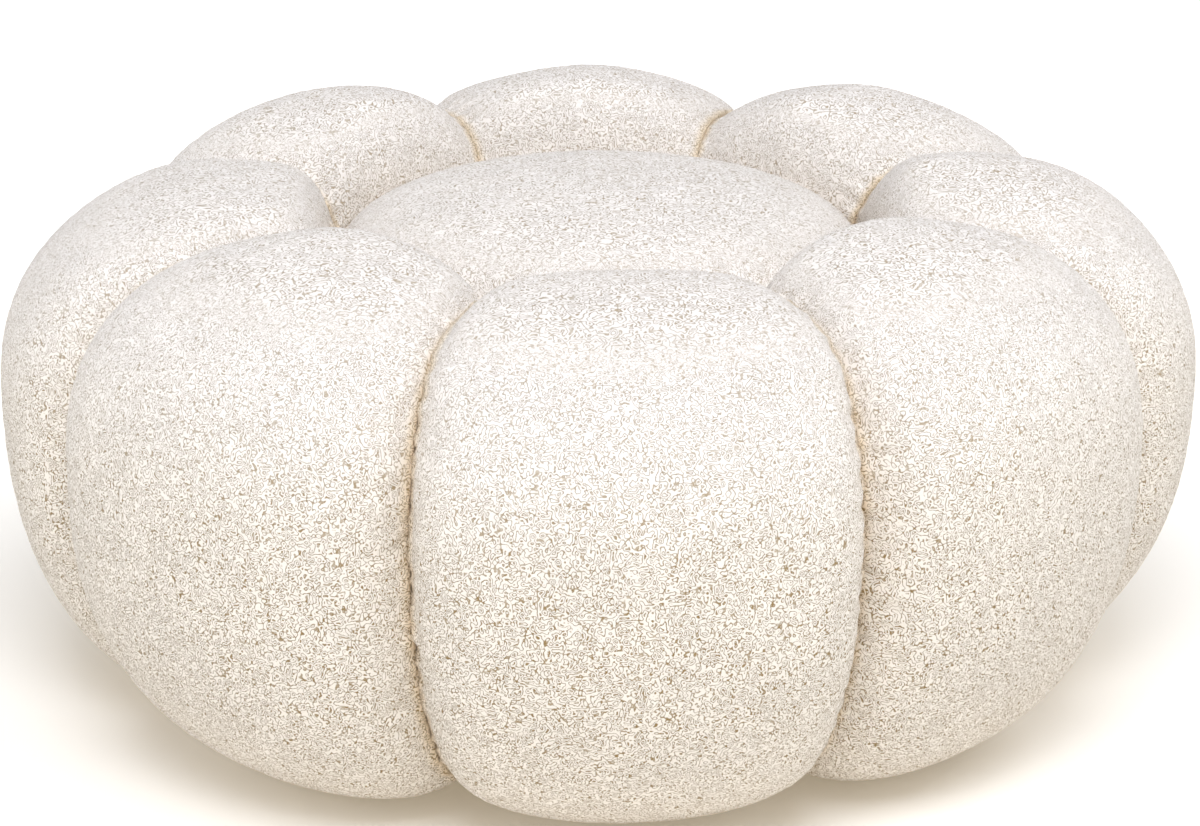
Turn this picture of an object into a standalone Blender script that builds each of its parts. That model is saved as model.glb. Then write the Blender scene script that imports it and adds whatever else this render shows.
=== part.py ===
"""A round boucle floor pouf: eight plump side cushions stand like petals round a domed centre cushion.

Metres, +Z up. The origin is on the pouf's axis, on the floor, and the front petal faces -Y.
Run it with blender --background --python part.py, or from the text editor.
"""

import math

import bmesh
import bpy
from mathutils import Matrix, Vector

# Overall sizes
HEIGHT = 0.42  # floor to the crown of an average petal
REACH = 0.473  # axis to the outermost point of an average petal
RING_TURN = math.radians(3.5)  # the ring stands this far anticlockwise, seen from above
GAP = 0.0003  # left between neighbouring cushions

# A petal's profile, cut along its middle
CROWN_R = 0.281  # from the axis to its highest point
BELLY_Z = 0.251  # height at which it bulges furthest out
WALL_R = 0.209  # its upright inner wall, where it meets the centre cushion
FOOT_SINK = 0.003  # its rounded underside is pressed flat over this depth

# How far the two seams of a petal lie inside that profile
SEAM_IN = 0.109  # at the belly
SEAM_DOWN = 0.047  # at the crown
SEAM_UP = 0.035  # at the foot

# Roundness of three quarters of the profile: 2 is an ellipse, and more is squarer.
# The fourth, over the inner shoulder, is in the table below.
UPPER_OUTER = 2.28
LOWER_OUTER = 2.47
LOWER_INNER = 5.0

# Where three cushions meet at the top, a corner stays open as a dimple
DIMPLE_TOP = 0.33  # above this height the petal's inner wall runs straight across
DIMPLE_FLOOR = 0.27  # below this height it follows the round centre cushion

# Roundness of the arch from seam to seam on the belly. The top has its own, in the table below.
ARCH = 2.04
TOP_STARTS = math.radians(30)  # angle up the profile where the arch begins to change
TOP_ENDS = math.radians(90)  # and where it is the top's own

# The petals, anticlockwise from the front. reach and height are what each has beyond the average,
# seam is how far the seam on its clockwise side is turned from an even eighth, in degrees, and
# tuck is how far its lower face is drawn in. top and inner are roundnesses: of the arch at its
# crown, and of the shoulder that it turns to the centre cushion.
PETAL_COLUMNS = ("reach", "height", "seam", "tuck", "top", "inner")
PETALS = {
    "petal_front": (0.0045, -0.0147, 0.8, 0.029, 3.4, 3.0),
    "petal_front_right": (-0.0174, -0.0038, 0.3, 0.014, 2.0, 3.6),
    "petal_right": (0.0022, -0.0030, 0.4, 0.026, 1.5, 3.0),
    "petal_back_right": (0.0184, 0.0075, 0.6, 0.0, 1.5, 3.0),
    "petal_back": (0.0021, 0.0087, -1.0, 0.0, 1.75, 3.0),
    "petal_back_left": (-0.0097, 0.0124, -0.6, 0.0, 1.65, 3.0),
    "petal_left": (0.0022, -0.0121, -2.1, 0.008, 2.8, 3.8),
    "petal_front_left": (-0.0020, -0.0069, -0.3, 0.011, 2.2, 3.6),
}
SEAM_LATITUDE = math.radians(80)  # ring of the round cage that becomes the two seams
CAGE_ROUND = 36  # faces round a petal's profile
CAGE_ACROSS = 18  # rows of faces from pole to pole

# The centre cushion
CENTRE_R = WALL_R - 0.001
CENTRE_TOP = 0.405  # top of its dome
CENTRE_SHOULDER = 0.335  # where the dome's edge turns into the upright side
DOME = 2.63  # roundness of the dome, as above
CENTRE_FOOT = 0.03  # radius that rounds its lower edge
DOME_STEPS = 10
FOOT_STEPS = 3
CENTRE_SIDES = 64

BOUCLE_CREAM = (0.83, 0.78, 0.71, 1.0)
BOUCLE_ROUGHNESS = 0.95


def clear_scene():
    """Empties the file, so that only the pouf is in it."""
    for thing in list(bpy.data.objects):
        bpy.data.objects.remove(thing, do_unlink=True)


def boucle(name):
    """The cream looped cloth of one cushion."""
    material = bpy.data.materials.new(name)
    material.use_nodes = True
    shader = material.node_tree.nodes["Principled BSDF"]
    shader.inputs["Base Color"].default_value = BOUCLE_CREAM
    shader.inputs["Roughness"].default_value = BOUCLE_ROUGHNESS
    shader.inputs["Metallic"].default_value = 0.0
    material.diffuse_color = BOUCLE_CREAM
    return material


def add_cushion(name, mesh, collection):
    """Puts a mesh into the pouf as one named cushion with its own cloth."""
    mesh.materials.append(boucle(name + "_boucle"))
    cushion = bpy.data.objects.new(name, mesh)
    collection.objects.link(cushion)
    return cushion


def signed_power(value, power):
    """value raised to a power, keeping its sign."""
    return math.copysign(abs(value) ** power, value)


def petal_row(name):
    """One petal's line of the table, by column."""
    return dict(zip(PETAL_COLUMNS, PETALS[name]))


def rounded_outline(angle, outer, inner, upper, lower, shoulder):
    """A point on a closed outline about (0, 0) whose four quarters differ in size and roundness."""
    c = math.cos(angle)
    s = math.sin(angle)
    if c > 0:
        half_width = outer
        roundness = UPPER_OUTER if s > 0 else LOWER_OUTER
    else:
        half_width = inner
        roundness = shoulder if s > 0 else LOWER_INNER
    half_height = upper if s > 0 else lower
    x = half_width * signed_power(c, 2 / roundness)
    z = half_height * signed_power(s, 2 / roundness)
    return x, z


def arch_roundness(angle, top):
    """Roundness of the arch from seam to seam, eased from the belly's to the top's."""
    share = (angle - TOP_STARTS) / (TOP_ENDS - TOP_STARTS)
    share = min(max(share, 0.0), 1.0)
    eased = share * share * (3 - 2 * share)
    return ARCH + (top - ARCH) * eased


def petal_skin(row, angle, lean):
    """The skin at an angle round the profile and a lean towards one seam, -90 to 90 degrees.

    Returns the distance out, the height, and the share of the way to the seam, -1 to 1.
    """
    out = REACH + row["reach"] - CROWN_R
    up = HEIGHT + row["height"] - BELLY_Z
    inner = CROWN_R - WALL_R
    sunk = BELLY_Z + FOOT_SINK
    raised = BELLY_Z - SEAM_UP
    crown_x, crown_z = rounded_outline(angle, out, inner, up, sunk, row["inner"])
    seam_x, seam_z = rounded_outline(angle, out - SEAM_IN, inner, up - SEAM_DOWN, raised, row["inner"])
    if crown_x > 0:
        below = min(max(-crown_z / BELLY_Z, 0.0), 1.0)
        crown_x -= row["tuck"] * below**2
        seam_x -= row["tuck"] * below**2
    roundness = arch_roundness(angle, row["top"])
    share = signed_power(math.sin(lean), 2 / roundness)
    crown_weight = max(math.cos(lean), 0.0) ** (2 / roundness)
    distance = CROWN_R + seam_x + crown_weight * (crown_x - seam_x)
    height = BELLY_Z + seam_z + crown_weight * (crown_z - seam_z)
    return distance, max(height, 0.0), share


def spread_across(distance, height, share, half_wedge):
    """Places a point between the two seam planes of a petal that looks along +X.

    Outside the crown the rows run straight across. Low on the inner wall they follow the round centre.
    """
    inward = (CROWN_R - distance) / (CROWN_R - WALL_R)
    below = (DIMPLE_TOP - height) / (DIMPLE_TOP - DIMPLE_FLOOR)
    bend = min(max(inward, 0.0), 1.0) * min(max(below, 0.0), 1.0)
    straight = Vector((distance, share * distance * math.tan(half_wedge), 0.0))
    turn = share * half_wedge
    round_centre = Vector((distance * math.cos(turn), distance * math.sin(turn), 0.0))
    point = straight.lerp(round_centre, bend)
    point.y -= share * GAP / 2 / math.cos(half_wedge)
    point.z = height
    return point


def seam_azimuth(index):
    """Azimuth of the seam on the clockwise side of a petal."""
    names = list(PETALS)
    eighth = 2 * math.pi / len(names)
    turned = math.radians(petal_row(names[index % len(names)])["seam"])
    return -math.pi / 2 + RING_TURN + (index - 0.5) * eighth + turned


def petal_mesh(name, index):
    """One petal: a round cage whose poles lie in its two flat sides, drawn out to the petal's skin."""
    row = petal_row(name)
    first = seam_azimuth(index)
    second = seam_azimuth(index + 1)
    half_wedge = (second - first) / 2
    cage = bmesh.new()
    bmesh.ops.create_uvsphere(cage, u_segments=CAGE_ROUND, v_segments=CAGE_ACROSS, radius=1.0)
    for vertex in cage.verts:
        latitude = -math.asin(min(max(vertex.co.z, -1.0), 1.0))
        if abs(latitude) > SEAM_LATITUDE + 0.01:
            distance = CROWN_R
            height = BELLY_Z
            share = math.copysign(1.0, latitude)
        else:
            angle = math.atan2(vertex.co.y, vertex.co.x)
            lean = latitude / SEAM_LATITUDE * math.pi / 2
            distance, height, share = petal_skin(row, angle, lean)
        vertex.co = spread_across(distance, height, share, half_wedge)
    bmesh.ops.rotate(cage, verts=cage.verts, matrix=Matrix.Rotation((first + second) / 2, 3, "Z"))
    mesh = bpy.data.meshes.new(name)
    cage.to_mesh(mesh)
    cage.free()
    mesh.shade_smooth()
    mesh.set_sharp_from_angle(angle=math.radians(50))
    return mesh


def centre_profile():
    """The centre cushion's outer side from the top of the dome down to the middle of its underside."""
    points = []
    for step in range(DOME_STEPS + 1):
        angle = math.pi / 2 * (1 - step / DOME_STEPS)
        x = CENTRE_R * abs(math.cos(angle)) ** (2 / DOME)
        z = (CENTRE_TOP - CENTRE_SHOULDER) * abs(math.sin(angle)) ** (2 / DOME)
        points.append((x, CENTRE_SHOULDER + z))
    points[0] = (0.0, CENTRE_TOP)
    for step in range(FOOT_STEPS + 1):
        angle = math.pi / 2 * step / FOOT_STEPS
        x = CENTRE_R - CENTRE_FOOT * (1 - math.cos(angle))
        z = CENTRE_FOOT * (1 - math.sin(angle))
        points.append((x, z))
    points.append((0.0, 0.0))
    return points


def add_centre(collection):
    """The round centre cushion, turned from its profile."""
    points = [(x, 0.0, z) for x, z in centre_profile()]
    edges = [(i, i + 1) for i in range(len(points) - 1)]
    mesh = bpy.data.meshes.new("centre_cushion")
    mesh.from_pydata(points, edges, [])
    cushion = add_cushion("centre_cushion", mesh, collection)
    turned = cushion.modifiers.new("turned", "SCREW")
    turned.axis = "Z"
    turned.angle = 2 * math.pi
    turned.steps = CENTRE_SIDES
    turned.render_steps = CENTRE_SIDES
    turned.use_merge_vertices = True
    turned.merge_threshold = 0.00005
    turned.use_smooth_shade = True
    return cushion


def build_pouf():
    """The whole pouf: the ring of petals and the centre cushion."""
    clear_scene()
    collection = bpy.data.collections.new("boucle_pouf")
    bpy.context.scene.collection.children.link(collection)
    for index, name in enumerate(PETALS):
        add_cushion(name, petal_mesh(name, index), collection)
    add_centre(collection)


build_pouf()
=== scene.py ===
import math

import bpy
import numpy as np
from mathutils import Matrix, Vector


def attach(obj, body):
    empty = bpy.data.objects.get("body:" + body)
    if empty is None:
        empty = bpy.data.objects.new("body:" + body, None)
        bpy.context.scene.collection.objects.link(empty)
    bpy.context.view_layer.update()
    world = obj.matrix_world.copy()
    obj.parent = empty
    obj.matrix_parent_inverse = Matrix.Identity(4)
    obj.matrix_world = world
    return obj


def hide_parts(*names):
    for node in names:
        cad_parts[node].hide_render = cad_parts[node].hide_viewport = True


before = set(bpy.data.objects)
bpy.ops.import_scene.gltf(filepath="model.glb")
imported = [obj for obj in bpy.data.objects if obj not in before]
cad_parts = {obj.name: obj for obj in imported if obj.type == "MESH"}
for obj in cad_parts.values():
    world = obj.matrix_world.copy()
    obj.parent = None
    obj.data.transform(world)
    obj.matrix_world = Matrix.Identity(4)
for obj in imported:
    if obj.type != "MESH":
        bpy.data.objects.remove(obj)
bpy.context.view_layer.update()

# The pouf's shape, in metres: the same sizes as its solids
HEIGHT = 0.42  # floor to the crown of an average petal
REACH = 0.473  # axis to the outermost point of an average petal
RING_TURN = math.radians(3.5)  # the ring stands this far anticlockwise, seen from above
GAP = 0.0003  # left between neighbouring cushions
CROWN_R = 0.281  # from the axis to a petal's highest point
BELLY_Z = 0.251  # height at which it bulges furthest out
WALL_R = 0.209  # its upright inner wall, where it meets the centre cushion
FOOT_SINK = 0.003  # its rounded underside is pressed flat over this depth
SEAM_IN = 0.109  # its seams lie this far inside its profile at the belly
SEAM_DOWN = 0.047  # at the crown
SEAM_UP = 0.035  # and at the foot

# Roundness of the profile's quarters and of the arch from seam to seam: 2 is an ellipse, and more
# is squarer
UPPER_OUTER = 2.28
LOWER_OUTER = 2.47
LOWER_INNER = 5.0
ARCH = 2.04  # on the belly
TOP_STARTS = math.radians(30)  # angle up the profile where the arch begins to change
TOP_ENDS = math.radians(90)  # and where it is the top's own

# Where three cushions meet at the top, a corner stays open as a dimple
DIMPLE_TOP = 0.33  # above this height the petal's inner wall runs straight across
DIMPLE_FLOOR = 0.27  # below this height it follows the round centre cushion

# The petals, anticlockwise from the front: how each differs from the average, in the units above.
# seam turns its clockwise seam, in degrees. tuck draws its lower face in. top and inner are
# roundnesses: of the arch at its crown, and of the shoulder that it turns to the centre cushion.
PETAL_COLUMNS = ("reach", "height", "seam", "tuck", "top", "inner")
PETALS = {
    "petal_front": (0.0045, -0.0147, 0.8, 0.029, 3.4, 3.0),
    "petal_front_right": (-0.0174, -0.0038, 0.3, 0.014, 2.0, 3.6),
    "petal_right": (0.0022, -0.0030, 0.4, 0.026, 1.5, 3.0),
    "petal_back_right": (0.0184, 0.0075, 0.6, 0.0, 1.5, 3.0),
    "petal_back": (0.0021, 0.0087, -1.0, 0.0, 1.75, 3.0),
    "petal_back_left": (-0.0097, 0.0124, -0.6, 0.0, 1.65, 3.0),
    "petal_left": (0.0022, -0.0121, -2.1, 0.008, 2.8, 3.8),
    "petal_front_left": (-0.0020, -0.0069, -0.3, 0.011, 2.2, 3.6),
}

# The centre cushion
CENTRE_R = WALL_R - 0.001
CENTRE_TOP = 0.405  # top of its dome
CENTRE_SHOULDER = 0.335  # where the dome's edge turns into the upright side
DOME = 2.63  # roundness of the dome
CENTRE_FOOT = 0.03  # radius that rounds its lower edge

# How finely the cloth is built
ROWS_ROUND = 330  # points round a petal's profile
ROWS_ACROSS = 150  # points from seam to seam
CENTRE_ROWS = 190  # points along each side of the centre cushion's top
CLOSING_RINGS = 4  # rings that close a petal's hidden flat sides
UNDERSIDE_RINGS = 12  # rings that close the centre cushion below
MEASURE_STEPS = 4000  # steps in which a curve's length is measured
DOME_STEPS = 400  # and the dome's outline
BELLY_ANGLE = 0.35  # angle up the profile where the rows are spaced evenly from seam to seam
UNDER_SPARSE = 0.35  # rows on the underside, as a share of those that show
HIDDEN_SPARSE = 0.12  # and on the hidden inner wall
HIDDEN_WALL = 0.004  # cloth this near the inner wall is hidden
CENTRE_WAIST = 0.15  # height of a ring on the hidden side of the centre cushion
CENTRE_FOOT_RISE = 0.006  # height of the ring that rounds its lower edge

# The pile, as real relief below the solids' surface
CLUMP = 0.0105  # a clump of loops, with a parting round it
CLUMP_DEPTH = 0.0008  # of that parting
TUFT = 0.0056  # a few loops together
TUFT_DEPTH = 0.0005
PARTING_LENGTH = 1.5  # partings run this much further across a cushion than up it
TUFT_EDGE = 0.9  # squared distance from its middle, in tufts, at which a tuft ends
WARP = 0.004  # how far the clumps are pushed about
WARP_SIZE = 0.016

# The curls of the yarn, too fine for the mesh
CURLS_PER_METRE = 290.0  # where the pile stands up
BRUSHED_PER_METRE = 205.0  # where the cloth lies flat and its pile is brushed open
CURL_TURNS = 4.0  # lines that a curl winds round itself
LINE_WIDTH = 0.28  # of the shaded lines, as a share of the way to the next
SWAY_FINER = 2.1  # the sway that makes the lines curl is this much finer than they are
SWAY_REACH = 0.27  # and pushes them this far, as a share of a curl
BREAKS_COARSER = 0.79  # fineness of the lines' fainter places, as a share of the curls'
BREAKS = (0.36, 0.62)  # the noise's values where a line is faintest and where it is full
FAINTEST = 0.75  # strength of a line where it is faintest
PARTING_SHADE = 0.15  # painted shade added to a line in a parting
CURL_DEPTH = 0.0004  # height of the bump that they make
SIDE_CREAM = (0.905, 0.838, 0.745, 1.0)  # tips of the upright cloth: the shaded copy of the cream, warmer and darker than the top's
TOP_PAINTED_LIGHT_CREAM = (0.945, 0.882, 0.815, 1.0)  # tips of the cloth that lies flat: painted light, lighter and cooler where light falls from above
BETWEEN_PAINTED_SHADE = (0.30, 0.20, 0.075, 1.0)  # painted shade in the lines between the curls
VALLEY_PAINTED_SHADE = (0.84, 0.70, 0.52, 1.0)  # painted warm shade on the tips down in a seam
TOP_PAINTED_LIGHT_LYING = (0.42, 0.95)  # how lying the cloth is where the painted top light begins and is full
LINES_FADE_LYING = (0.42, 0.85)  # and where the lines begin to fade and have faded: partly the top's pressed pile, partly painted shade kept stronger lower down
FADED_LINES = 0.68  # strength of the lines that have faded
BRUSHED_LYING = (0.88, 0.98)  # and where the pile begins to be brushed open and is so
BRUSHED_LINES = 0.08  # added to the faded lines there
VALLEY_PAINTED_SHADE_FROM = 0.1  # where the painted seam shade begins, as a share of the way to a seam
TONE_PER_METRE = 24.0  # the cloth's slight unevenness of tone
TONE_DETAIL = 3.0
TONE_NOISE = (0.2, 0.8)  # the noise's values for the darkest and the lightest
TONE_RANGE = (0.97, 1.03)  # and what the cloth's colour is multiplied by there
CLOTH_ROUGHNESS = 0.95
CLOTH_SPECULAR = 0.15
CLOTH_SHEEN = 0.15
SHEEN_ROUGHNESS = 0.5

# The filling
STUFFING = 0.085  # size of its soft unevenness
STUFFING_DEPTH = 0.0032
STUFFING_LEVEL = 0.6  # unevenness at which it neither swells nor sinks
FOOT_FIRM = 0.05  # below this height it evens out, so that every foot stands on the floor
CENTRE_EDGE = 6  # it evens out over the outer sixth of the centre cushion's radius too
PUCKER = 0.019  # distance between the small gathers along a seam
PUCKER_DEPTH = 0.0026
PUCKER_REACH = 0.18  # how far they run in from the seam, as a share of the way to the crown
PUCKER_PATCH = 0.03  # over this distance they come and go
PUCKER_SWAY = 3.0  # how unevenly they are spaced, in radians
PUCKER_SWAY_SIZE = 0.05

# Where two cushions press together, their pile fills the last of the valley between them
VALLEY = 0.0085  # the pile begins to lean over where a cushion is this near the seam
VALLEY_CLOSED = 0.5  # share of that at which it has closed the valley
VALLEY_UNEVEN = 0.7  # how much that reach varies along the seam
VALLEY_LOCKS = 0.009  # size of the locks of pile that make it vary
VALLEY_SHADE = 0.0085  # warm shade is painted on the cloth where it is nearer its neighbour than this
SEAM_INSET = 0.0006  # keeps the flat hidden sides clear of each other

# Each kind of unevenness has its own salt, so that no two are alike
STUFFING_SALT = 5
CLUMP_SALT = 11
TUFT_SALT = 23
PATCH_SALT = 37
WARP_SALTS = (41, 43, 47)
LOCKS_SALT = 59
SWAY_SALT = 71

# Odd numbers that mix a cell's place with its salt, and then the bits of the outcome
CELL_MIXERS = (73856093, 19349663, 83492791)
SALT_MIXER = 2654435761
BIT_MIXERS = (2246822519, 3266489917)

# The photograph's camera
CAMERA_AT = (0.0, -2.424, 1.0195)
CAMERA_TILT = math.radians(18.458)
LENS = 95.02  # millimetres, as is the sensor's width
SENSOR = 36.0

# The studio
DAYLIGHT = (0.96, 0.99, 1.06)  # tint of all the lights
ROOM_LIGHT = 0.38
SOFT_LIGHT_SIZE = 3.2
SOFT_LIGHTS = (  # name, place and watts
    ("high_front", (0, -3.4, 5.6), 276.0),
    ("high_right", (3.8, -0.8, 5.0), 80.0),
    ("low_left", (-5.6, -1.6, 2.4), 32.0),
)
FLOOR_HALF = 60.0  # so wide that its edge doesn't show in a low view
FLOOR_WHITE = (0.94, 0.92, 0.88, 1.0)
FLOOR_ROUGHNESS = 0.9
GLOW_NEAR = (0.17, 0.150, 0.115, 1.0)  # the floor's own light under the pouf
GLOW_FAR = (0.55, 0.54, 0.52, 1.0)  # and well away from it
GLOW_STARTS = 0.5  # distance from the axis where it begins to rise
GLOW_ENDS = 1.5  # and where it has risen


def petal_row(name):
    """One petal's line of the table, by column."""
    return dict(zip(PETAL_COLUMNS, PETALS[name]))


def signed_power(value, power):
    """value raised to a power, keeping its sign."""
    return np.sign(value) * np.abs(value) ** power


def rounded_outline(angle, outer, inner, upper, lower, shoulder):
    """Points on a closed outline about (0, 0) whose four quarters differ in size and roundness."""
    c = np.cos(angle)
    s = np.sin(angle)
    outside = np.where(s > 0, UPPER_OUTER, LOWER_OUTER)
    inside = np.where(s > 0, shoulder, LOWER_INNER)
    roundness = np.where(c > 0, outside, inside)
    x = np.where(c > 0, outer, inner) * signed_power(c, 2 / roundness)
    z = np.where(s > 0, upper, lower) * signed_power(s, 2 / roundness)
    return x, z


def profile(row, angle, seam_in, seam_down, foot):
    """A petal's profile at its crown, or at its seams with the amounts that they lie inside it."""
    out = REACH + row["reach"] - CROWN_R
    up = HEIGHT + row["height"] - BELLY_Z
    inner = CROWN_R - WALL_R
    x, z = rounded_outline(angle, out - seam_in, inner, up - seam_down, BELLY_Z + foot, row["inner"])
    low = np.clip(-np.sin(angle), 0, 1) ** (4 / LOWER_OUTER)
    outer_share = np.clip(1 + x / inner, 0, 1)
    return x - row["tuck"] * low * outer_share, z


def petal_skin(name, angle, lean):
    """The skin at angles round the profile and leans to one seam: distance out, height, share across.

    Each seam runs midway between what its two petals would have, so that they meet along it.
    """
    names = list(PETALS)
    index = names.index(name)
    row = petal_row(name)
    crown_x, crown_z = profile(row, angle, 0, 0, FOOT_SINK)
    own_x, own_z = profile(row, angle, SEAM_IN, SEAM_DOWN, -SEAM_UP)
    before = petal_row(names[index - 1])
    after = petal_row(names[(index + 1) % len(names)])
    before_x, before_z = profile(before, angle, SEAM_IN, SEAM_DOWN, -SEAM_UP)
    after_x, after_z = profile(after, angle, SEAM_IN, SEAM_DOWN, -SEAM_UP)
    seam_x = (own_x + np.where(lean < 0, before_x, after_x)) / 2
    seam_z = (own_z + np.where(lean < 0, before_z, after_z)) / 2
    share_up = np.clip((angle - TOP_STARTS) / (TOP_ENDS - TOP_STARTS), 0, 1)
    roundness = ARCH + (row["top"] - ARCH) * share_up * share_up * (3 - 2 * share_up)
    share = signed_power(np.sin(lean), 2 / roundness)
    crown_weight = np.clip(np.cos(lean), 0, 1) ** (2 / roundness)
    distance = CROWN_R + seam_x + crown_weight * (crown_x - seam_x)
    height = BELLY_Z + seam_z + crown_weight * (crown_z - seam_z)
    return distance, np.maximum(height, 0), share


def spread_across(distance, height, share, half_wedge):
    """Places points between the two seam planes of a petal that looks along +X."""
    inward = np.clip((CROWN_R - distance) / (CROWN_R - WALL_R), 0, 1)
    below = np.clip((DIMPLE_TOP - height) / (DIMPLE_TOP - DIMPLE_FLOOR), 0, 1)
    bend = inward * below
    turn = share * half_wedge
    x = distance * (1 - bend) + distance * np.cos(turn) * bend
    y = share * distance * math.tan(half_wedge) * (1 - bend) + distance * np.sin(turn) * bend
    y = y - share * GAP / 2 / math.cos(half_wedge)
    return np.stack([x, y, height + 0 * y], -1)


def press_together(skin, half_wedge, reach):
    """Brings a petal's cloth up to its two seams and to the centre cushion where it all but touches them.

    Returns it with the distance that is left to the nearest of the three.
    """
    x, y, z = skin[..., 0], skin[..., 1], skin[..., 2]
    gap = np.maximum(x * math.sin(half_wedge) - np.abs(y) * math.cos(half_wedge) - GAP / 2, 0)
    moved = gap - valley_filled(gap, reach)
    x = x - moved * math.sin(half_wedge)
    y = y + moved * math.cos(half_wedge) * np.sign(y)
    bend = np.clip((DIMPLE_TOP - z) / (DIMPLE_TOP - DIMPLE_FLOOR), 0, 1)
    inner_gap = np.maximum(x * (1 - bend) + np.hypot(x, y) * bend - WALL_R, 0)
    moved = inner_gap - valley_filled(inner_gap, reach)
    left = np.minimum(valley_filled(gap, reach), valley_filled(inner_gap, reach))
    return np.stack([x - moved, y, z], -1), left


def seam_azimuth(index):
    """Azimuth of the seam on the clockwise side of a petal."""
    names = list(PETALS)
    eighth = 2 * math.pi / len(names)
    turned = math.radians(petal_row(names[index % len(names)])["seam"])
    return -math.pi / 2 + RING_TURN + (index - 0.5) * eighth + turned


def evenly_spaced(curve, count, weight):
    """Parameters of count points at even weighted lengths along a curve given by many points."""
    steps = np.linalg.norm(np.diff(curve, axis=0), axis=1) * (weight[1:] + weight[:-1]) / 2
    length = np.concatenate([[0], np.cumsum(steps)])
    return np.interp(np.linspace(0, length[-1], count), length, np.linspace(0, 1, len(length)))


def hashed(cell, salt):
    """A repeatable number from 0 to 1 for each whole-numbered cell."""
    with np.errstate(over="ignore"):
        h = np.uint32(salt * SALT_MIXER % 2**32)
        for axis, mixer in enumerate(CELL_MIXERS):
            h = h ^ cell[..., axis].astype(np.uint32) * np.uint32(mixer)
        h ^= h >> np.uint32(15)
        h *= np.uint32(BIT_MIXERS[0])
        h ^= h >> np.uint32(13)
        h *= np.uint32(BIT_MIXERS[1])
        h ^= h >> np.uint32(16)
    return h.astype(np.float64) / 2**32


def tufts(points, size, salt):
    """Round tufts of a given size: 1 at the middle of each, falling to 0 in the creases between."""
    at = points / size
    cell = np.floor(at).astype(np.int64)
    nearest = np.full(len(points), 9.0)
    for i in (-1, 0, 1):
        for j in (-1, 0, 1):
            for k in (-1, 0, 1):
                near = cell + np.array([i, j, k])
                middle = near + np.stack([hashed(near, salt + n) for n in range(3)], -1)
                nearest = np.minimum(nearest, ((middle - at) ** 2).sum(-1))
    return np.clip(1 - nearest / TUFT_EDGE, 0, 1)


def softly_uneven(points, size, salt):
    """Smooth unevenness from 0 to 1 over a given distance."""
    at = points / size
    cell = np.floor(at).astype(np.int64)
    part = at - cell
    part = part * part * (3 - 2 * part)
    total = np.zeros(len(points))
    for i in (0, 1):
        for j in (0, 1):
            for k in (0, 1):
                corner = np.array([i, j, k])
                weight = np.prod(np.where(corner == 1, part, 1 - part), -1)
                total += weight * hashed(cell + corner, salt)
    return total


def pile_depth(points, across):
    """How far the cloth lies below the tips of its loops. The partings run along a given direction."""
    pushed = np.stack([softly_uneven(points, WARP_SIZE, salt) - 0.5 for salt in WARP_SALTS], -1)
    at = points + pushed * 2 * WARP
    drawn_out = at - np.outer(at @ across, across) * (1 - 1 / PARTING_LENGTH)
    clumps = (1 - tufts(drawn_out, CLUMP, CLUMP_SALT)) * CLUMP_DEPTH
    loops = (1 - tufts(at, TUFT, TUFT_SALT)) * TUFT_DEPTH
    return clumps + loops


def valley_reach(points):
    """How near a seam the pile begins to lean over, uneven from lock to lock."""
    return VALLEY * (1 + VALLEY_UNEVEN * (softly_uneven(points, VALLEY_LOCKS, LOCKS_SALT) - 0.5))


def valley_filled(gap, reach):
    """How near the seam the pile comes where the cloth is this near it: round-bottomed, then closed."""
    share = np.clip((gap / reach - VALLEY_CLOSED) / (1 - VALLEY_CLOSED), 0, 1)
    return np.where(gap < reach, reach * share ** (1 - VALLEY_CLOSED), gap)


def grid_normals(grid, closed):
    """Outward normals of a grid of points, whose first direction may close on itself."""
    if closed:
        along = np.roll(grid, -1, 0) - np.roll(grid, 1, 0)
    else:
        along = np.gradient(grid, axis=0)
    across = np.gradient(grid, axis=1)
    normal = np.cross(across, along)
    return normal / np.maximum(np.linalg.norm(normal, axis=-1, keepdims=True), 1e-12)


def cloth_mesh(name, points, quads, triangles):
    """A smooth-shaded mesh from arrays of points and faces."""
    mesh = bpy.data.meshes.new(name)
    corners = np.concatenate([quads.ravel(), triangles.ravel()]).astype(np.int32)
    sizes = np.concatenate([np.full(len(quads), 4), np.full(len(triangles), 3)])
    starts = np.concatenate([[0], np.cumsum(sizes)[:-1]]).astype(np.int32)
    mesh.vertices.add(len(points))
    mesh.vertices.foreach_set("co", points.astype(np.float32).ravel())
    mesh.loops.add(len(corners))
    mesh.loops.foreach_set("vertex_index", corners)
    mesh.polygons.add(len(sizes))
    mesh.polygons.foreach_set("loop_start", starts)
    mesh.update(calc_edges=True)
    mesh.validate()
    mesh.shade_smooth()
    return mesh


def cloth_marks(mesh, pile, normal, height, left):
    """Marks the cloth's points for its material. What the marks don't reach is hidden.

    nap is 0 on the pile's tips and 1 in a parting. valley is 1 at a seam, where it sets the painted
    warm shade. lying goes half by slope and half by height: 1 on the flat top, about 0.5 on the belly and
    0 on the underside; it sets the painted light on top and the painted shade of the lines lower down.
    """
    marks = {
        "nap": pile / (CLUMP_DEPTH + TUFT_DEPTH),
        "lying": (0.5 + 0.5 * normal[..., 2].ravel() + height.ravel() / HEIGHT) / 2,
        "valley": 1 - left.ravel() / VALLEY_SHADE,
    }
    for name, values in marks.items():
        every = np.zeros(len(mesh.vertices), np.float32)
        every[: len(values)] = np.clip(values, 0, 1)
        mesh.attributes.new(name, "FLOAT", "POINT").data.foreach_set("value", every)


def dress(name, mesh, cloth):
    """Puts a finished cushion in the scene in place of its solid."""
    cushion = bpy.data.objects.new(name + "_cloth", mesh)
    bpy.context.scene.collection.objects.link(cushion)
    mesh.materials.append(cloth)
    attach(cushion, "root")
    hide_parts(name)


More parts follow.
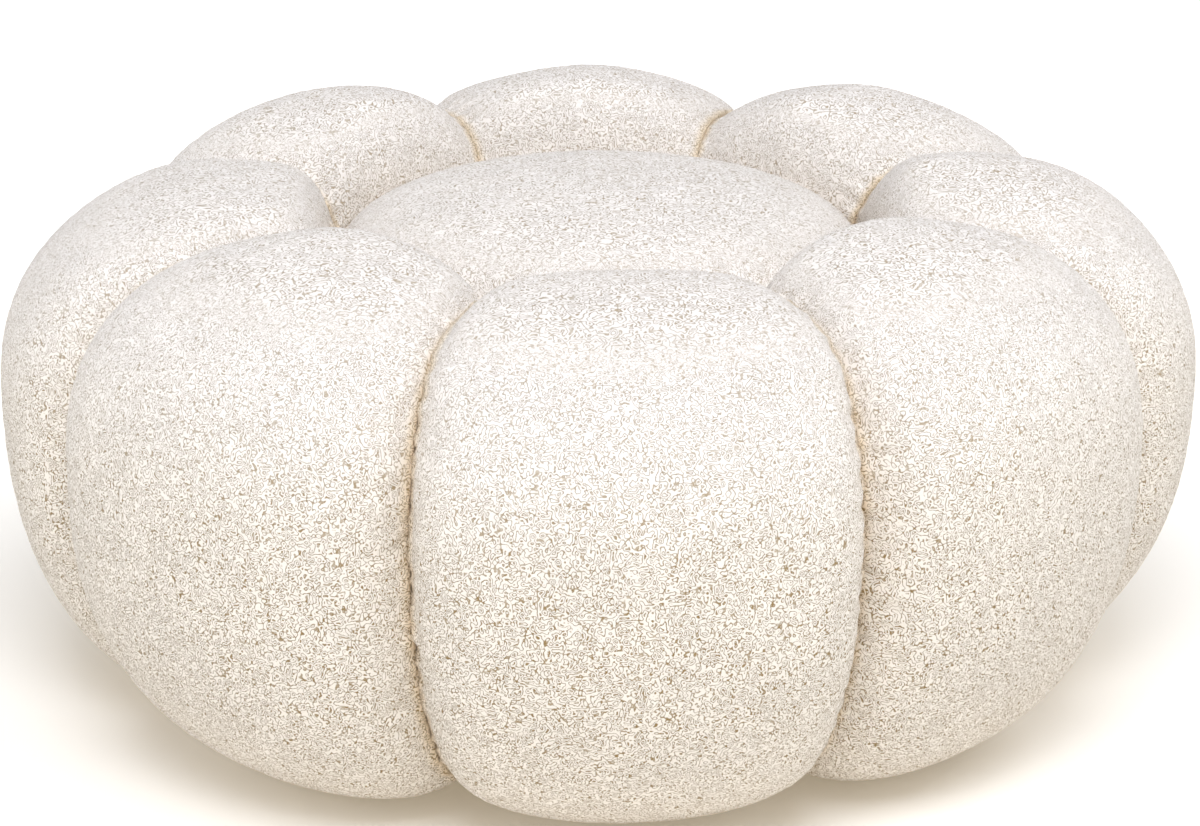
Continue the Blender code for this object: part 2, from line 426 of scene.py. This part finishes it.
def petal_angles(name):
    """Angles round the profile: even along what shows, sparse on the underside and the inner wall."""
    angle = np.linspace(-math.pi, math.pi, MEASURE_STEPS + 1)
    distance, height, _ = petal_skin(name, angle, np.zeros_like(angle))
    weight = np.ones_like(angle)
    weight[angle < -math.pi / 2] = UNDER_SPARSE
    weight[(distance < WALL_R + HIDDEN_WALL) & (height < DIMPLE_FLOOR)] = HIDDEN_SPARSE
    share = evenly_spaced(np.stack([distance, height], -1), ROWS_ROUND + 1, weight)[:-1]
    return -math.pi + share * 2 * math.pi


def petal_leans(name, half_wedge):
    """Leans from seam to seam, even along the belly."""
    lean = np.linspace(-math.pi / 2, math.pi / 2, MEASURE_STEPS // 2 + 1)
    distance, height, share = petal_skin(name, np.full_like(lean, BELLY_ANGLE), lean)
    curve = spread_across(distance, height, share, half_wedge)
    even = evenly_spaced(curve, ROWS_ACROSS, np.ones_like(lean))
    return -math.pi / 2 + even * math.pi


def petal_cloth(name, index, cloth):
    """One petal in its boucle: filling, gathers and pile on the smooth skin, and closed flat sides."""
    first = seam_azimuth(index)
    second = seam_azimuth(index + 1)
    half_wedge = (second - first) / 2
    middle = (first + second) / 2
    angle = petal_angles(name)[:, None]
    lean = petal_leans(name, half_wedge)[None, :]
    distance, height, share = petal_skin(name, angle + 0 * lean, lean + 0 * angle)
    skin = spread_across(distance, height, share, half_wedge)
    normal = grid_normals(skin, closed=True)
    turn = np.array([[math.cos(middle), math.sin(middle)], [-math.sin(middle), math.cos(middle)]])
    place = skin.copy()
    place[..., :2] = place[..., :2] @ turn
    place = place.reshape(-1, 3)
    edge = np.clip((np.abs(np.sin(lean + 0 * angle)) - (1 - PUCKER_REACH)) / PUCKER_REACH, 0, 1).ravel()
    along = np.cumsum(np.linalg.norm(np.diff(skin[:, 0], axis=0, prepend=skin[:1, 0]), axis=1))
    sway = PUCKER_SWAY * softly_uneven(place, PUCKER_SWAY_SIZE, SWAY_SALT)
    phase = np.repeat(along[:, None], ROWS_ACROSS, 1).ravel() / PUCKER * 2 * math.pi + sway
    gathers = edge * (1 - edge) * 4 * (0.5 + 0.5 * np.sin(phase)) * PUCKER_DEPTH
    gathers = gathers * softly_uneven(place, PUCKER_PATCH, PATCH_SALT)
    stuffing = (STUFFING_LEVEL - softly_uneven(place, STUFFING, STUFFING_SALT)) * STUFFING_DEPTH
    across = np.array([-math.sin(middle), math.cos(middle), 0])
    pile = pile_depth(place, across)
    lifted = np.clip(place[:, 2] / FOOT_FIRM, 0, 1)
    depth = pile + (gathers + stuffing * (1 - edge)) * lifted
    reach = valley_reach(place).reshape(angle.size, -1)
    skin, left = press_together(skin - normal * depth.reshape(angle.size, -1, 1), half_wedge, reach)
    skin[..., :2] = skin[..., :2] @ turn
    normal[..., :2] = normal[..., :2] @ turn
    points = skin.reshape(-1, 3)
    points[:, 2] = np.maximum(points[:, 2], 0)
    sides, quads, triangles = closed_sides(points, len(angle), first, second)
    points = np.concatenate([points] + sides)
    mesh = cloth_mesh(name, points, quads, triangles)
    cloth_marks(mesh, pile, normal, place[:, 2], left)
    dress(name, mesh, cloth)


def closed_sides(points, rounds, first, second):
    """The rings of points that close a petal's two flat hidden sides, and all its faces."""
    index = np.arange(rounds * ROWS_ACROSS).reshape(rounds, ROWS_ACROSS)
    after = np.roll(index, -1, 0)
    quads = [np.stack([index[:, :-1], index[:, 1:], after[:, 1:], after[:, :-1]], -1).reshape(-1, 4)]
    triangles = []
    sides = []
    count = len(points)
    for column, azimuth, outward in ((0, first, 1), (ROWS_ACROSS - 1, second, -1)):
        rim = index[:, column]
        centre = np.array([CROWN_R * math.cos(azimuth), CROWN_R * math.sin(azimuth), BELLY_Z])
        inset = np.array([-math.sin(azimuth), math.cos(azimuth), 0]) * SEAM_INSET * outward
        previous = rim
        for ring in range(1, CLOSING_RINGS):
            share = ring / CLOSING_RINGS
            sides.append(points[rim] * (1 - share) + centre * share + inset)
            current = count + np.arange(rounds)
            count += rounds
            faces = np.stack([previous, np.roll(previous, -1), np.roll(current, -1), current], -1)
            quads.append(faces if outward > 0 else faces[:, ::-1])
            previous = current
        sides.append((centre + inset)[None])
        fan = np.stack([previous, np.roll(previous, -1), np.full(rounds, count)], -1)
        triangles.append(fan if outward > 0 else fan[:, ::-1])
        count += 1
    return sides, np.concatenate(quads), np.concatenate(triangles)


def centre_outline(share):
    """The centre cushion's profile from the top of its dome, 0, to where its side is hidden, 1."""
    angle = np.linspace(math.pi / 2, 0, DOME_STEPS)
    x = CENTRE_R * np.cos(angle) ** (2 / DOME)
    z = CENTRE_SHOULDER + (CENTRE_TOP - CENTRE_SHOULDER) * np.sin(angle) ** (2 / DOME)
    x = np.append(x, CENTRE_R)
    z = np.append(z, DIMPLE_FLOOR)
    length = np.concatenate([[0], np.cumsum(np.hypot(np.diff(x), np.diff(z)))])
    at = share * length[-1]
    return np.interp(at, length, x), np.interp(at, length, z)


def centre_cloth(cloth):
    """The domed centre cushion: an even square of cloth drawn round over the dome, closed below."""
    side = np.linspace(-1, 1, CENTRE_ROWS)
    u, v = np.meshgrid(side, side, indexing="ij")
    share = np.maximum(np.abs(u), np.abs(v))
    wide = np.abs(u) >= np.abs(v)
    safe = np.where(share == 0, 1, share)
    azimuth = np.where(wide, np.where(u > 0, 0, math.pi) + math.pi / 4 * v / safe * np.sign(u), 0)
    azimuth = np.where(wide, azimuth, np.sign(v) * math.pi / 2 - math.pi / 4 * u / safe * np.sign(v))
    radius, height = centre_outline(share)
    skin = np.stack([radius * np.cos(azimuth), radius * np.sin(azimuth), height], -1)
    reach = valley_reach(skin.reshape(-1, 3)).reshape(radius.shape)
    left = valley_filled(CENTRE_R - radius, reach)
    radius = CENTRE_R - left
    skin = np.stack([radius * np.cos(azimuth), radius * np.sin(azimuth), height], -1)
    normal = -grid_normals(skin, closed=False)
    points = skin.reshape(-1, 3)
    edge = np.clip(radius / CENTRE_R * CENTRE_EDGE - (CENTRE_EDGE - 1), 0, 1).ravel()
    uneven = STUFFING_LEVEL - softly_uneven(points, STUFFING, STUFFING_SALT)
    stuffing = uneven * STUFFING_DEPTH * (1 - edge)
    pile = pile_depth(points, np.array([1.0, 0, 0]))
    points = points - normal.reshape(-1, 3) * (pile + stuffing)[:, None]
    index = np.arange(CENTRE_ROWS**2).reshape(CENTRE_ROWS, CENTRE_ROWS)
    corners = (index[:-1, :-1], index[1:, :-1], index[1:, 1:], index[:-1, 1:])
    quads = [np.stack(corners, -1).reshape(-1, 4)]
    rim = np.concatenate([index[:-1, 0], index[-1, :-1], index[:0:-1, -1], index[0, :0:-1]])
    below = [
        (CENTRE_R, CENTRE_WAIST),
        (CENTRE_R, CENTRE_FOOT),
        (CENTRE_R - CENTRE_FOOT / 3, CENTRE_FOOT_RISE),
    ]
    for step in range(UNDERSIDE_RINGS):
        below.append(((CENTRE_R - CENTRE_FOOT) * (1 - step / UNDERSIDE_RINGS), 0.0))
    around = azimuth.ravel()[rim]
    count = len(points)
    parts = [points]
    previous = rim
    for x, z in below:
        parts.append(np.stack([x * np.cos(around), x * np.sin(around), np.full(len(rim), z)], -1))
        current = count + np.arange(len(rim))
        quads.append(np.stack([np.roll(previous, -1), previous, current, np.roll(current, -1)], -1))
        count += len(rim)
        previous = current
    parts.append(np.zeros((1, 3)))
    triangles = np.stack([np.roll(previous, -1), previous, np.full(len(rim), count)], -1)
    mesh = cloth_mesh("centre_cushion", np.concatenate(parts), np.concatenate(quads), triangles)
    cloth_marks(mesh, pile, normal, height, left)
    dress("centre_cushion", mesh, cloth)


def socket(group, name, direction, kind, value=None, low=None, high=None):
    """A named input or output of a shader group, with its value and limits where it has them."""
    made = group.interface.new_socket(name=name, in_out=direction, socket_type=kind)
    if value is not None:
        made.default_value = value
        made.min_value = low
        made.max_value = high


def math_node(nodes, links, operation, first, second, clamp=False):
    """A maths node fed by links or plain numbers."""
    node = nodes.new("ShaderNodeMath")
    node.operation = operation
    node.use_clamp = clamp
    for value, place in ((first, 0), (second, 1)):
        if isinstance(value, (int, float)):
            node.inputs[place].default_value = value
        else:
            links.new(value, node.inputs[place])
    return node.outputs[0]


def mapped(nodes, links, value, low, high, to_low=0.0, to_high=1.0):
    """A value mapped smoothly from one range to another."""
    node = nodes.new("ShaderNodeMapRange")
    node.interpolation_type = "SMOOTHSTEP"
    node.inputs["From Min"].default_value = low
    node.inputs["From Max"].default_value = high
    node.inputs["To Min"].default_value = to_low
    node.inputs["To Max"].default_value = to_high
    links.new(value, node.inputs["Value"])
    return node.outputs["Result"]


def noise(nodes, links, vector, scale, detail=0.0):
    """Soft noise over a place: its value from 0 to 1, and the same as a colour."""
    node = nodes.new("ShaderNodeTexNoise")
    node.inputs["Detail"].default_value = detail
    links.new(vector, node.inputs["Vector"])
    if isinstance(scale, float):
        node.inputs["Scale"].default_value = scale
    else:
        links.new(scale, node.inputs["Scale"])
    return node.outputs["Fac"], node.outputs["Color"]


def swayed_place(nodes, links, vector, scale, reach):
    """A place pushed about by soft noise, which turns straight lines into curls."""
    centred = nodes.new("ShaderNodeVectorMath")
    centred.operation = "SUBTRACT"
    centred.inputs[1].default_value = (0.5, 0.5, 0.5)
    links.new(noise(nodes, links, vector, scale, 1.0)[1], centred.inputs[0])
    reaches = nodes.new("ShaderNodeCombineXYZ")
    for axis in "XYZ":
        links.new(reach, reaches.inputs[axis])
    pushed = nodes.new("ShaderNodeVectorMath")
    pushed.operation = "MULTIPLY_ADD"
    links.new(centred.outputs[0], pushed.inputs[0])
    links.new(reaches.outputs[0], pushed.inputs[1])
    links.new(vector, pushed.inputs[2])
    return pushed.outputs[0]


def winding_lines(nodes, links, vector, scale, turns, width):
    """Thin lines that wind round like curled yarn: 1 on a line, 0 away from it."""
    sway_scale = math_node(nodes, links, "MULTIPLY", scale, SWAY_FINER)
    sway_reach = math_node(nodes, links, "DIVIDE", SWAY_REACH, scale)
    place = swayed_place(nodes, links, vector, sway_scale, sway_reach)
    winding = math_node(nodes, links, "MULTIPLY", noise(nodes, links, place, scale)[0], turns)
    winding = math_node(nodes, links, "PINGPONG", winding, 0.5)
    return mapped(nodes, links, math_node(nodes, links, "DIVIDE", winding, width), 1.0, 0.0)


def boucle_curls_group():
    """Curls of yarn over the cloth: their height, the painted shade of the lines between them, and an
    uneven tone.
    """
    group = bpy.data.node_groups.new("boucle_curls", "ShaderNodeTree")
    socket(group, "Vector", "INPUT", "NodeSocketVector")
    socket(group, "Nap", "INPUT", "NodeSocketFloat", 0.0, 0.0, 1.0)
    socket(group, "Lying", "INPUT", "NodeSocketFloat", 0.5, 0.0, 1.0)
    socket(group, "Curls per Metre", "INPUT", "NodeSocketFloat", CURLS_PER_METRE, 10.0, 2000.0)
    socket(group, "Brushed per Metre", "INPUT", "NodeSocketFloat", BRUSHED_PER_METRE, 10.0, 2000.0)
    socket(group, "Turns", "INPUT", "NodeSocketFloat", CURL_TURNS, 1.0, 12.0)
    socket(group, "Line Width", "INPUT", "NodeSocketFloat", LINE_WIDTH, 0.02, 0.5)
    socket(group, "Height", "OUTPUT", "NodeSocketFloat")
    socket(group, "Between", "OUTPUT", "NodeSocketFloat")
    socket(group, "Tone", "OUTPUT", "NodeSocketFloat")
    nodes = group.nodes
    links = group.links
    taken = nodes.new("NodeGroupInput")
    given = nodes.new("NodeGroupOutput")
    vector = taken.outputs["Vector"]
    scale = taken.outputs["Curls per Metre"]
    turns = taken.outputs["Turns"]
    width = taken.outputs["Line Width"]

    tight = winding_lines(nodes, links, vector, scale, turns, width)
    brushed = winding_lines(nodes, links, vector, taken.outputs["Brushed per Metre"], turns, width)
    flat = mapped(nodes, links, taken.outputs["Lying"], *BRUSHED_LYING)
    blended = nodes.new("ShaderNodeMix")
    links.new(flat, blended.inputs["Factor"])
    links.new(tight, blended.inputs["A"])
    links.new(brushed, blended.inputs["B"])
    line = blended.outputs["Result"]
    links.new(math_node(nodes, links, "SUBTRACT", 1.0, line), given.inputs["Height"])

    break_scale = math_node(nodes, links, "MULTIPLY", scale, BREAKS_COARSER)
    shown = mapped(nodes, links, noise(nodes, links, vector, break_scale)[0], *BREAKS, FAINTEST, 1.0)
    sunk = math_node(nodes, links, "MULTIPLY", taken.outputs["Nap"], PARTING_SHADE)
    shown = math_node(nodes, links, "ADD", shown, sunk)
    # the lines' painted shade is stronger on upright and lower cloth: partly the top's pressed pile,
    # partly painted shade
    upright = mapped(nodes, links, taken.outputs["Lying"], *LINES_FADE_LYING, 1.0, FADED_LINES)
    brushed_lines = math_node(nodes, links, "MULTIPLY", flat, BRUSHED_LINES)
    upright = math_node(nodes, links, "ADD", upright, brushed_lines)
    between = math_node(nodes, links, "MULTIPLY", line, shown)
    between = math_node(nodes, links, "MULTIPLY", between, upright, clamp=True)
    links.new(between, given.inputs["Between"])

    links.new(noise(nodes, links, vector, TONE_PER_METRE, TONE_DETAIL)[0], given.inputs["Tone"])
    return group


def mixed(nodes, links, share, first, second):
    """Two colours mixed by a mask. Each is a plain colour or a link."""
    node = nodes.new("ShaderNodeMix")
    node.data_type = "RGBA"
    for value, place in ((first, "A"), (second, "B")):
        if isinstance(value, tuple):
            node.inputs[place].default_value = value
        else:
            links.new(value, node.inputs[place])
    links.new(share, node.inputs["Factor"])
    return node.outputs["Result"]


def boucle_cloth(name, curls):
    """The cream boucle: matt curly loops, painted shade between them and in the seams, painted light on
    top, and a soft sheen.
    """
    cloth = bpy.data.materials.new(name)
    cloth.use_nodes = True
    nodes = cloth.node_tree.nodes
    links = cloth.node_tree.links
    shader = nodes["Principled BSDF"]
    place = nodes.new("ShaderNodeTexCoord")
    relief = nodes.new("ShaderNodeGroup")
    relief.node_tree = curls
    relief.inputs["Curls per Metre"].default_value = CURLS_PER_METRE
    relief.inputs["Brushed per Metre"].default_value = BRUSHED_PER_METRE
    relief.inputs["Turns"].default_value = CURL_TURNS
    relief.inputs["Line Width"].default_value = LINE_WIDTH
    links.new(place.outputs["Object"], relief.inputs["Vector"])
    marks = {}
    for mark in ("nap", "lying", "valley"):
        node = nodes.new("ShaderNodeAttribute")
        node.attribute_name = mark
        marks[mark] = node.outputs["Fac"]
    links.new(marks["nap"], relief.inputs["Nap"])
    links.new(marks["lying"], relief.inputs["Lying"])

    # painted light: the cloth that lies flat is made lighter and cooler than the upright cloth
    flat = mapped(nodes, links, marks["lying"], *TOP_PAINTED_LIGHT_LYING)
    tip = mixed(nodes, links, flat, SIDE_CREAM, TOP_PAINTED_LIGHT_CREAM)
    # painted shade: the tips warm to tan deep in a seam
    valley_shade_share = mapped(nodes, links, marks["valley"], VALLEY_PAINTED_SHADE_FROM, 1.0)
    tip = mixed(nodes, links, valley_shade_share, tip, VALLEY_PAINTED_SHADE)
    # painted shade: the lines between the curls are darkened to a warm beige
    colour = mixed(nodes, links, relief.outputs["Between"], tip, BETWEEN_PAINTED_SHADE)
    uneven = mapped(nodes, links, relief.outputs["Tone"], *TONE_NOISE, *TONE_RANGE)
    toned = nodes.new("ShaderNodeVectorMath")
    toned.operation = "SCALE"
    links.new(colour, toned.inputs[0])
    links.new(uneven, toned.inputs["Scale"])
    links.new(toned.outputs[0], shader.inputs["Base Color"])

    bump = nodes.new("ShaderNodeBump")
    bump.inputs["Strength"].default_value = 1.0
    bump.inputs["Distance"].default_value = CURL_DEPTH
    links.new(relief.outputs["Height"], bump.inputs["Height"])
    links.new(bump.outputs["Normal"], shader.inputs["Normal"])
    shader.inputs["Roughness"].default_value = CLOTH_ROUGHNESS
    shader.inputs["Metallic"].default_value = 0.0
    shader.inputs["Specular IOR Level"].default_value = CLOTH_SPECULAR
    shader.inputs["Sheen Weight"].default_value = CLOTH_SHEEN
    shader.inputs["Sheen Roughness"].default_value = SHEEN_ROUGHNESS
    return cloth


def studio():
    """A white floor that glows as a product table does, under a bright room and large soft lights."""
    mesh = bpy.data.meshes.new("studio_floor")
    corners = [(x * FLOOR_HALF, y * FLOOR_HALF, 0) for x, y in ((-1, -1), (1, -1), (1, 1), (-1, 1))]
    mesh.from_pydata(corners, [], [(0, 1, 2, 3)])
    floor = bpy.data.objects.new("studio_floor", mesh)
    mesh.materials.append(glowing_white("studio_white"))
    bpy.context.scene.collection.objects.link(floor)

    world = bpy.data.worlds.new("studio_room")
    world.use_nodes = True
    room = world.node_tree.nodes["Background"]
    room.inputs["Color"].default_value = DAYLIGHT + (1,)
    room.inputs["Strength"].default_value = ROOM_LIGHT
    bpy.context.scene.world = world
    for name, place, power in SOFT_LIGHTS:
        soft_light(name, place, power)


def glowing_white(name):
    """A white surface lit from below, more so away from the pouf."""
    white = bpy.data.materials.new(name)
    white.use_nodes = True
    nodes = white.node_tree.nodes
    links = white.node_tree.links
    shader = nodes["Principled BSDF"]
    shader.inputs["Base Color"].default_value = FLOOR_WHITE
    shader.inputs["Roughness"].default_value = FLOOR_ROUGHNESS
    place = nodes.new("ShaderNodeTexCoord")
    away = nodes.new("ShaderNodeVectorMath")
    away.operation = "LENGTH"
    links.new(place.outputs["Object"], away.inputs[0])
    far = mapped(nodes, links, away.outputs["Value"], GLOW_STARTS, GLOW_ENDS)
    links.new(mixed(nodes, links, far, GLOW_NEAR, GLOW_FAR), shader.inputs["Emission Color"])
    shader.inputs["Emission Strength"].default_value = 1.0
    return white


def soft_light(name, place, power):
    """A square soft light that looks at the pouf."""
    light = bpy.data.lights.new(name, "AREA")
    light.shape = "SQUARE"
    light.size = SOFT_LIGHT_SIZE
    light.energy = power
    light.color = DAYLIGHT
    holder = bpy.data.objects.new(name, light)
    holder.location = place
    holder.rotation_euler = (Vector((0, 0, BELLY_Z)) - Vector(place)).to_track_quat("-Z", "Y").to_euler()
    bpy.context.scene.collection.objects.link(holder)


def camera():
    """The photograph's camera."""
    lens = bpy.data.cameras.new("camera")
    lens.sensor_width = SENSOR
    lens.lens = LENS
    holder = bpy.data.objects.new("camera", lens)
    holder.location = CAMERA_AT
    holder.rotation_euler = (math.pi / 2 - CAMERA_TILT, 0, 0)
    bpy.context.scene.collection.objects.link(holder)
    bpy.context.scene.camera = holder


def dress_pouf():
    """The whole pouf in its cloth."""
    cloth = boucle_cloth("cream_boucle", boucle_curls_group())
    for index, name in enumerate(PETALS):
        petal_cloth(name, index, cloth)
    centre_cloth(cloth)


camera()
studio()
dress_pouf()
bpy.context.scene.view_settings.view_transform = "Standard"
